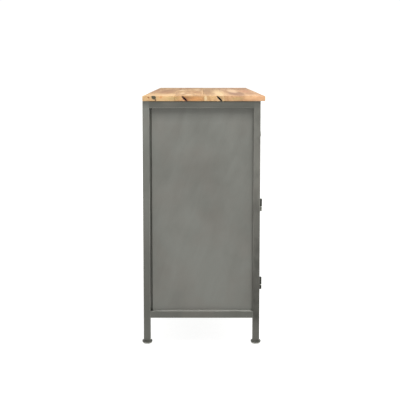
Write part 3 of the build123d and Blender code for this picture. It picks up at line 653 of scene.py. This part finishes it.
hinge = {
    "chamfer": 0.7 * mm, "dome": 1.6 * mm, "bore": 2.0 * mm, "play": 0.05 * mm, "lift": 0.1 * mm,
    "ring": 3.0 * mm, "ringDepth": 0.5 * mm, "ringWidth": 1.2 * mm, "ringSlope": 0.4 * mm,
    "leafThickness": 2.0 * mm, "leafRound": 0.4 * mm, "washerRound": 0.5 * mm,
    "weld": 1.1 * mm, "weldInset": 0.4 * mm, "weldEnd": 2.0 * mm,
}


def barrelProfile(part, radius, pinRadius, height):
    # half a section of one barrel, from its lower end up
    cut, bend, bore = hinge["chamfer"], hinge["dome"], hinge["bore"]
    if part == "frame":  # domed below, open for the pin above
        profile = [(0, 0)] + arcPoints((radius - bend, bend), bend, -90, 0, 5)
        return profile + [(radius, height - cut), (radius - cut, height), (pinRadius, height),
                          (pinRadius, height - bore)]
    # open below, with a ring turned into it under the button above
    wide, ring = pinRadius + hinge["play"], height - hinge["ring"]
    neck, slope = radius - hinge["ringDepth"], hinge["ringSlope"]
    profile = [(wide, bore), (wide, 0), (radius - cut, 0), (radius, cut), (radius, ring),
               (neck, ring + slope), (neck, ring + 2 * slope), (radius, ring + hinge["ringWidth"])]
    return profile + arcPoints((radius - bend, height - bend), bend, 0, 90, 5) + [(0, height)]


def makeHinges():
    frameLow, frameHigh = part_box("hinge_frame_knuckles")
    washerLow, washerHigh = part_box("hinge_washers")
    pinLow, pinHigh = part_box("hinge_pins")
    frameHeight = washerLow.z - frameLow.z
    pitch = frameHigh.z - frameLow.z - frameHeight  # from the lower hinge to the upper one
    washerHeight = washerHigh.z - washerLow.z - pitch
    radius, pinRadius = (washerHigh.y - washerLow.y) / 2, (pinHigh.y - pinLow.y) / 2
    axisY = washerLow.y + radius
    cut, thick = hinge["chamfer"], hinge["leafThickness"]
    for bay in bayNames:
        door = f"door_{bay}"
        doorLow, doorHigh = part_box(f"{door}_hinge_knuckles")
        axisX = next(joint for joint in frame["joints"] if joint["child"] == door)["pos_m"][0]
        toFrame = 1 if bay == "right" else -1
        doorHeight = doorHigh.z - doorLow.z - pitch
        leafReach = max(abs(doorLow.x - axisX), abs(doorHigh.x - axisX))
        for level, base in (("lower", frameLow.z), ("upper", frameLow.z + pitch)):
            washerBase = base + frameHeight
            parts = (("frame", base, frameHeight, toFrame, "carcass", "hinge_frame_knuckles"),
                     ("door", washerBase + washerHeight + hinge["lift"], doorHeight, -toFrame, door,
                      f"{door}_hinge_knuckles"))
            for part, low, height, side, body, replaced in parts:
                bm = bmesh.new()
                profile = barrelProfile(part, radius, pinRadius, height)
                addTurned(bm, profile, (axisX, axisY, low), segments=32)
                # the upper hinge's frame barrel gets the paler copy: a painted highlight
                finish = litHingeSteel if (part, level) == ("frame", "upper") else hingeSteel
                keepPiece(f"hinge_{part}_barrel_{bay}_{level}", bm, finish, body, [replaced])
                bm = bmesh.new()
                xs = sorted((axisX + side * radius * 0.5, axisX + side * leafReach))
                addBlock(bm, (xs[0], faceY - thick, low + cut), (xs[1], faceY, low + height - cut),
                         hinge["leafRound"], 2)
                web = axisX + side * thick / 2
                addBlock(bm, (web - thick / 2, axisY, low + cut),
                         (web + thick / 2, faceY - thick / 2, low + height - cut))
                keepPiece(f"hinge_{part}_leaf_{bay}_{level}", bm, hingeSteel, body, [replaced])
                bm = bmesh.new()
                edge, end = axisX + side * (leafReach - hinge["weldInset"]), hinge["weldEnd"]
                addWeld(bm, (edge, faceY, low + end), (edge, faceY, low + height - end),
                        (side * 0.7, -1, 0), hinge["weld"], 40 + len(bay))
                keepPiece(f"hinge_{part}_weld_{bay}_{level}", bm, weldSteel, body)
            soft = hinge["washerRound"]
            profile = [(pinRadius, 0), (radius - soft, 0), (radius, soft), (radius, washerHeight - soft),
                       (radius - soft, washerHeight), (pinRadius, washerHeight)]
            bm = bmesh.new()
            addTurned(bm, profile, (axisX, axisY, washerBase), segments=32)
            keepPiece(f"hinge_washer_{bay}_{level}", bm, washerSteel, "carcass",
                      ["hinge_washers"])


makeHinges()
print("hinges made")


pull = {
    "wall": 2.0 * mm, "endPower": 9, "columns": 28, "rows": 14, "slope": 2.0 * mm, "shoulder": 20 * mm,
    "ear": 13 * mm, "earHeight": 0.6, "earThickness": 2.0 * mm, "earRound": 0.6 * mm, "screw": 3.6 * mm,
}


def makePull(bay):
    # a cast cup: a hood of even wall, open below, and an ear with a screw on either side
    node, body = f"drawer_{bay}_pull", f"drawer_{bay}"
    low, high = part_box(node)
    centreX, middleZ = (low.x + high.x) / 2, (low.z + high.z) / 2
    half = (high.x - low.x) / 2 - pull["ear"]
    columns, rows, shoulder = pull["columns"], pull["rows"], pull["shoulder"]
    bm = bmesh.new()

    def hoodPoint(column, row, inset):
        # one point of the hood: column runs across, row from the front lip over to the back
        across = -1 + 2 * column / columns
        swell = (1 - abs(across) ** pull["endPower"]) ** (1 / pull["endPower"])
        reach = (faceY - low.y - inset) * (0.05 + 0.95 * swell)
        rise = high.z - low.z - inset
        turnRow = rows // 3
        if row <= turnRow:
            z = shoulder * row / turnRow
            y = reach - pull["slope"] * row / turnRow * swell
        else:
            a = math.radians(90 * (row - turnRow) / (rows - turnRow))
            z = shoulder + (rise - shoulder) * math.sin(a)
            y = (reach - pull["slope"] * swell) * math.cos(a)
        return Vector((centreX + across * (half - inset), faceY - max(y, 0),
                       low.z + z * (0.985 + 0.015 * swell)))

    outer, inner = [[[bm.verts.new(hoodPoint(c, r, inset)) for r in range(rows + 1)]
                     for c in range(columns + 1)] for inset in (0.0, pull["wall"])]
    for skin in (outer, inner):
        joinRings(bm, skin, closed=False)
    for end in (0, -1):  # the lip and the back edge, then the two sides
        joinRings(bm, [[column[end] for column in outer], [column[end] for column in inner]], closed=False)
        joinRings(bm, [outer[end], inner[end]], closed=False)
    bmesh.ops.remove_doubles(bm, verts=bm.verts, dist=0.02 * mm)
    keepPiece(f"drawer_{bay}_cup", bm, handleNickel, body, [node], sharp=50)

    tall = (high.z - low.z) * pull["earHeight"] / 2
    for side, hand in ((-1, "left"), (1, "right")):
        points = [(0, -tall), (0, tall)] + arcPoints((pull["ear"] - tall, 0), tall, 90, -90, 12)
        outline = [(centreX + side * (half - 0.5 * mm + x), middleZ + z) for x, z in points]
        bm = bmesh.new()
        face = bm.faces.new([bm.verts.new((x, faceY, z)) for x, z in outline])
        front = bmesh.ops.extrude_face_region(bm, geom=[face])["geom"]
        for vert in front:
            if isinstance(vert, bmesh.types.BMVert):
                vert.co.y -= pull["earThickness"]
        rim = [e for e in bm.edges if all(v.co.y < faceY - 1 * mm for v in e.verts)]
        bmesh.ops.bevel(bm, geom=rim, offset=pull["earRound"], segments=3, profile=0.5, affect="EDGES")
        keepPiece(f"drawer_{bay}_pull_ear_{hand}", bm, handleNickel, body, [node])
        bm = bmesh.new()
        centre = (centreX + side * (half + pull["ear"] * 0.52), faceY - pull["earThickness"], middleZ)
        addScrew(bm, centre, (0, -1, 0), pull["screw"], 0.5 * side + len(bay) * 0.7)
        keepPiece(f"drawer_{bay}_pull_screw_{hand}", bm, screwZinc, body)


knob = {
    "base": 0.72, "neck": 0.44,                 # shares of the knob's radius
    "rim": 1.4 * mm, "rimRound": 0.8 * mm,      # of the foot on the door
    "cove": ((1.8 * mm, 2.4 * mm), (0.4 * mm, 3.6 * mm), (0.0, 5 * mm), (0.0, 7.5 * mm),
             (1.0 * mm, 9.4 * mm)),             # out from the neck, and out from the door
    "shoulder": (0.8, 10.6 * mm),
    "belly": 12.6 * mm, "bellyRound": 2.2 * mm,
    "crown": ((0.72, 2.0 * mm), (0.5, 0.8 * mm), (0.25, 0.2 * mm), (0.0, 0.0)),  # a share, below the tip
}


def makeKnob(bay):
    node = f"door_{bay}_knob"
    low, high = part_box(node)
    radius, length = (high.x - low.x) / 2, high.y - low.y
    base, neck = radius * knob["base"], radius * knob["neck"]
    rim, belly = knob["rimRound"], knob["bellyRound"]
    profile = [(0, 0), (base, 0)] + arcPoints((base - rim, knob["rim"]), rim, 0, 90, 4)
    profile += [(neck + out, height) for out, height in knob["cove"]]
    profile += [(radius * knob["shoulder"][0], knob["shoulder"][1])]
    profile += arcPoints((radius - belly, knob["belly"]), belly, -70, 60, 6)
    profile += [(radius * share, length - below) for share, below in knob["crown"]]
    bm = bmesh.new()
    addTurned(bm, profile, ((low.x + high.x) / 2, faceY, (low.z + high.z) / 2), (0, -1, 0), 48)
    keepPiece(f"door_{bay}_turned_knob", bm, handleNickel, f"door_{bay}", [node])


drawer = {"bend": 2.0 * mm, "sheet": 1.2 * mm, "hem": 1.3 * mm, "hemDrop": 3.2 * mm, "hemRound": 0.5 * mm,
          "hemEnd": 2.3 * mm}


def makeDrawerFront(bay):
    # a shallow folded tray, open at the back
    node = f"drawer_{bay}_front"
    low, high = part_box(node)
    bm = bmesh.new()
    addBlock(bm, low, high)
    folded = [e for e in bm.edges if min(v.co.y for v in e.verts) < low.y + mm]
    bmesh.ops.bevel(bm, geom=folded, offset=drawer["bend"], segments=5, profile=0.5, affect="EDGES")
    back = max(bm.faces, key=lambda f: f.calc_center_median().y)
    bmesh.ops.inset_individual(bm, faces=[back], thickness=drawer["sheet"])
    floor = bmesh.ops.extrude_face_region(bm, geom=[back])["geom"]
    for vert in floor:
        if isinstance(vert, bmesh.types.BMVert):
            vert.co.y = low.y + drawer["sheet"]
    bmesh.ops.delete(bm, geom=[back], context="FACES_ONLY")
    keepPiece(f"drawer_{bay}_folded_front", bm, frontSteel, f"drawer_{bay}", [node])

    # the turned-over hem along the inside of the tray's four rims
    boxLow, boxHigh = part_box(f"drawer_{bay}_box")
    middle = (boxLow + boxHigh) / 2
    bm = bmesh.new()
    corners = [Vector((x, y, 0)) for x, y in ((boxLow.x, boxLow.y), (boxHigh.x, boxLow.y),
                                              (boxHigh.x, boxHigh.y), (boxLow.x, boxHigh.y))]
    for corner, following in zip(corners, corners[1:] + corners[:1]):
        start = Vector([min(a, b) for a, b in zip(corner, following)])
        end = Vector([max(a, b) for a, b in zip(corner, following)])
        for axis in (0, 1):
            if end[axis] - start[axis] < mm:
                inward = 1 if start[axis] < middle[axis] else -1
                near = start[axis] + inward * drawer["sheet"]
                start[axis], end[axis] = sorted((near, near + inward * drawer["hem"]))
            else:
                start[axis] += drawer["hemEnd"]
                end[axis] -= drawer["hemEnd"]
        start.z, end.z = boxHigh.z - drawer["hemDrop"], boxHigh.z - 0.05 * mm
        addBlock(bm, start, end, drawer["hemRound"], 3)
    keepPiece(f"drawer_{bay}_box_hem", bm, innerSteel, f"drawer_{bay}")


for bay in bayNames:
    makePull(bay)
    makeKnob(bay)
    makeDrawerFront(bay)
print("handles and drawer fronts made")


catch = {"width": 12 * mm, "rounding": 1.0 * mm, "screw": 2.6 * mm,
         "magnet": 5 * mm, "magnetProud": 0.15 * mm, "magnetDepth": 2 * mm}


def makeCatches():
    # a moulded body on the wall of each bay, with two round magnets and two screws
    low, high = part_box("door_catches")
    screwY, height = low.y + (high.y - low.y) * 0.55, high.z - low.z
    wide, deep = catch["magnet"], catch["magnetDepth"]
    magnet = [(0, 0), (wide - 0.4 * mm, 0), (wide, 0.3 * mm), (wide, deep), (0, deep)]
    for bay in bayNames:
        wallLow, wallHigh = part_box("partition_left" if bay == "left" else "partition_right")
        wall, side = (wallHigh.x, 1) if bay == "right" else (wallLow.x, -1)
        face = wall + side * catch["width"]
        xs = sorted((wall, face))
        bm = bmesh.new()
        addBlock(bm, (xs[0], low.y, low.z), (xs[1], high.y, high.z), catch["rounding"], 3)
        keepPiece(f"catch_body_{bay}", bm, catchNylon, "carcass", ["door_catches"])
        bm = bmesh.new()
        for share in (0.3, 0.7):
            addTurned(bm, magnet, ((wall + face) / 2, low.y - catch["magnetProud"], low.z + height * share),
                      (0, 1, 0), 28)
        keepPiece(f"catch_magnets_{bay}", bm, screwZinc, "carcass")
        bm = bmesh.new()
        for share in (0.2, 0.8):
            addScrew(bm, (face, screwY, low.z + height * share), (side, 0, 0), catch["screw"], 1.1 * share)
        keepPiece(f"catch_screws_{bay}", bm, screwZinc, "carcass")


doorWeld = {"corner": 1.8 * mm, "flat": 1.4 * mm, "length": 24 * mm, "start": 1 * mm, "end": 2 * mm}


def makeDoorWelds(bay):
    # beads in the inside corners of the door frame, on its back face
    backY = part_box(f"door_{bay}_frame")[1].y
    low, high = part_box(f"door_{bay}_panel")
    y, start, length = high.y, doorWeld["start"], doorWeld["length"]
    corners = [(x, z, sx, sz) for x, sx in ((low.x, 1), (high.x, -1))
               for z, sz in ((low.z, 1), (high.z, -1))]
    bm = bmesh.new()
    for i, (x, z, sx, sz) in enumerate(corners):
        addWeld(bm, (x, y + start, z), (x, backY - doorWeld["end"], z), (sx, 0, sz),
                doorWeld["corner"], 60 + i)
        addWeld(bm, (x + sx * start, y, z), (x + sx * length, y, z), (0, 1, sz), doorWeld["flat"], 70 + i)
        addWeld(bm, (x, y, z + sz * start), (x, y, z + sz * length), (sx, 1, 0), doorWeld["flat"], 80 + i)
    keepPiece(f"door_{bay}_frame_welds", bm, weldSteel, f"door_{bay}")


frameWeld = {"under": 1.8 * mm, "inside": 1.6 * mm, "end": 1.4 * mm, "inset": 3 * mm, "outer": 8 * mm}


def makeFrameWelds():
    # beads below and behind the bottom rails, where they meet the legs
    bm = bmesh.new()
    seed, inset = 100, frameWeld["inset"]
    for row, inward in (("front", 1), ("back", -1)):
        low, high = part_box(f"{row}_rail_bottom")
        innerY = high.y if row == "front" else low.y
        for x, sx in ((low.x, 1), (high.x, -1)):
            addWeld(bm, (x, low.y + inset, low.z), (x, high.y - inset, low.z), (sx, 0, -1),
                    frameWeld["under"], seed)
            addWeld(bm, (x, innerY, low.z + inset), (x, innerY, high.z - inset), (sx, inward, 0),
                    frameWeld["inside"], seed + 1)
            seed += 2
    for side in ("left", "right"):
        low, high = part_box(f"end_rail_bottom_{side}")
        fromLeft, fromRight = (frameWeld["outer"], inset) if side == "left" else (inset, frameWeld["outer"])
        for y, sy in ((low.y, 1), (high.y, -1)):
            addWeld(bm, (low.x + fromLeft, y, low.z), (high.x - fromRight, y, low.z), (0, sy, -1),
                    frameWeld["end"], seed)
            seed += 1
    keepPiece("frame_welds", bm, weldSteel, "carcass")


groundWeld = {"fill": 2.4 * mm, "under": 0.06 * mm, "lap": 0.3 * mm, "trim": 1.6 * mm}


def makeGroundWelds():
    # outer joints of the frame are welded and ground flush: each fills the groove left by a
    # leg's rounded corner
    bm = bmesh.new()
    fill, under, lap, trim = [groundWeld[key] for key in ("fill", "under", "lap", "trim")]
    joints = []
    for across in (0, 1):
        for row, side in legNames:
            for level in ("top", "bottom"):
                rail = f"{row}_rail_{level}" if across else f"end_rail_{level}_{side}"
                joints.append((f"post_{row}_{side}", rail, across))
    for post, rail, across in joints:
        postLow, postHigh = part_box(post)
        low, high = [Vector(corner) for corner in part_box(rail)]
        along = 1 - across
        low.z, high.z = low.z + trim, high.z - trim
        if postHigh[across] > 0:
            low[across], high[across] = postHigh[across] - fill, postHigh[across] - under
        else:
            low[across], high[across] = postLow[across] + under, postLow[across] + fill
        if postHigh[along] > 0:
            low[along], high[along] = postLow[along] - lap, postLow[along] + fill
        else:
            low[along], high[along] = postHigh[along] - fill, postHigh[along] + lap
        addBlock(bm, low, high)
    keepPiece("ground_welds", bm, railSteel, "carcass")


seam = {"size": 2.6 * mm, "end": 0.6 * mm, "hollow": 0.35,
        "slot": 6 * mm}  # the panel ends this far short of the back leg


def makePanelSeams():
    # a filled seam where the foot of each end panel meets its rail
    bm = bmesh.new()
    size, end, hollow = seam["size"], seam["end"], seam["size"] * seam["hollow"]
    for side, outward in (("left", -1), ("right", 1)):
        low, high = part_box(f"end_panel_{side}")
        faceX = low.x if side == "left" else high.x
        outline = [(-end, -end), (size, -end), (size, 0), (hollow, hollow), (0, size), (-end, size)]
        joinRings(bm, [[bm.verts.new((faceX + outward * out, y, low.z + up)) for out, up in outline]
                       for y in (low.y + end, high.y - seam["slot"] - end)])
    keepPiece("panel_seams", bm, panelSteel, "carcass")


makeCatches()
for bay in bayNames:
    makeDoorWelds(bay)
makeFrameWelds()
makeGroundWelds()
makePanelSeams()
print("catches and welds made")


studio = {
    "floorSize": 80, "floor": ("a2a2a0", "a8a8a6"), "floorGrain": 25 * mm, "glow": 0.88,
    "lens": 97.06, "sensor": 36, "away": 3.841, "fromBack": 0.2097, "eye": 0.9947,
    "tiltDown": 6.92, "turnLeft": 0.07,
    "room": 1.05, "dimSide": 0.3,  # strength of the room's light, and on the side of the left end
}
softboxes = [
    {"name": "overheadSoftbox", "place": (slabLow.x - 0.95, -0.6, 2.8), "aim": (slabLow.x, 0, 0.6),
     "size": (0.8, 0.8), "power": 48},
    {"name": "frontSoftbox", "place": (0.0, -3.0, 2.0), "aim": (0, 0, 0.5),
     "size": (2.6, 1.4), "power": 22},
]


def makeStudio():
    bm = bmesh.new()
    bmesh.ops.create_grid(bm, x_segments=1, y_segments=1, size=studio["floorSize"] / 2)
    floor = newObject("studioFloor", newMesh("studioFloor", bm))
    # back-lit acrylic sheet, like a light table: pale and nearly shadowless
    material, tree, shader, place = newMaterial("backlitWhiteAcrylic")
    grain = addNode(tree, "TexNoise", {"Vector": place, "Scale": 1 / studio["floorGrain"], "Detail": 2.0})
    colour = addNode(tree, "Mix", {0: grain, 1: studio["floor"][0], 2: studio["floor"][1]})
    tree.links.new(colour, shader.inputs["Base Color"])
    shader.inputs["Roughness"].default_value = 0.9
    shader.inputs["Emission Color"].default_value = hexColour("ffffff")
    shader.inputs["Emission Strength"].default_value = studio["glow"]
    floor.data.materials.append(material)
    world = bpy.data.worlds.new("softWhiteRoom")
    bpy.context.scene.world = world
    world.use_nodes = True
    tree = world.node_tree
    toward = addNode(tree, "TexCoord", output="Generated")
    sideways = addNode(tree, "SeparateXYZ", {0: toward}, output="X")
    upward = addNode(tree, "SeparateXYZ", {0: toward}, output="Z")
    dim = addNode(tree, "MapRange", {0: sideways, 1: 0.1, 2: -0.8, 4: studio["room"] - studio["dimSide"]})
    above = addNode(tree, "MapRange", {0: upward, 1: 0.05, 2: 0.12})  # the horizon stays white all round
    dim = addNode(tree, "Math", {0: dim, 1: above}, operation="MULTIPLY")
    strength = addNode(tree, "Math", {0: studio["room"], 1: dim}, operation="SUBTRACT")
    tree.nodes["Background"].inputs["Color"].default_value = hexColour("ffffff")
    tree.links.new(strength, tree.nodes["Background"].inputs["Strength"])
    bpy.context.scene.view_settings.view_transform = "Standard"


def addSoftbox(name, place, aim, size, power):
    light = bpy.data.lights.new(name, "AREA")
    light.shape = "RECTANGLE"
    light.size, light.size_y = size
    light.energy = power
    lamp = newObject(name, light)
    lamp.location = place
    lamp.rotation_euler = (Vector(aim) - Vector(place)).to_track_quat("-Z", "Y").to_euler()


def makeCamera():
    data = bpy.data.cameras.new("viewCamera")
    data.lens, data.sensor_width = studio["lens"], studio["sensor"]
    camera = newObject("viewCamera", data)
    camera.location = (slabLow.x - studio["away"], slabHigh.y - studio["fromBack"], studio["eye"])
    camera.rotation_euler = (math.radians(90 - studio["tiltDown"]), 0,
                             math.radians(studio["turnLeft"] - 90))
    bpy.context.scene.camera = camera


makeStudio()
for softbox in softboxes:
    addSoftbox(**softbox)
makeCamera()
print("studio, lights and camera set")
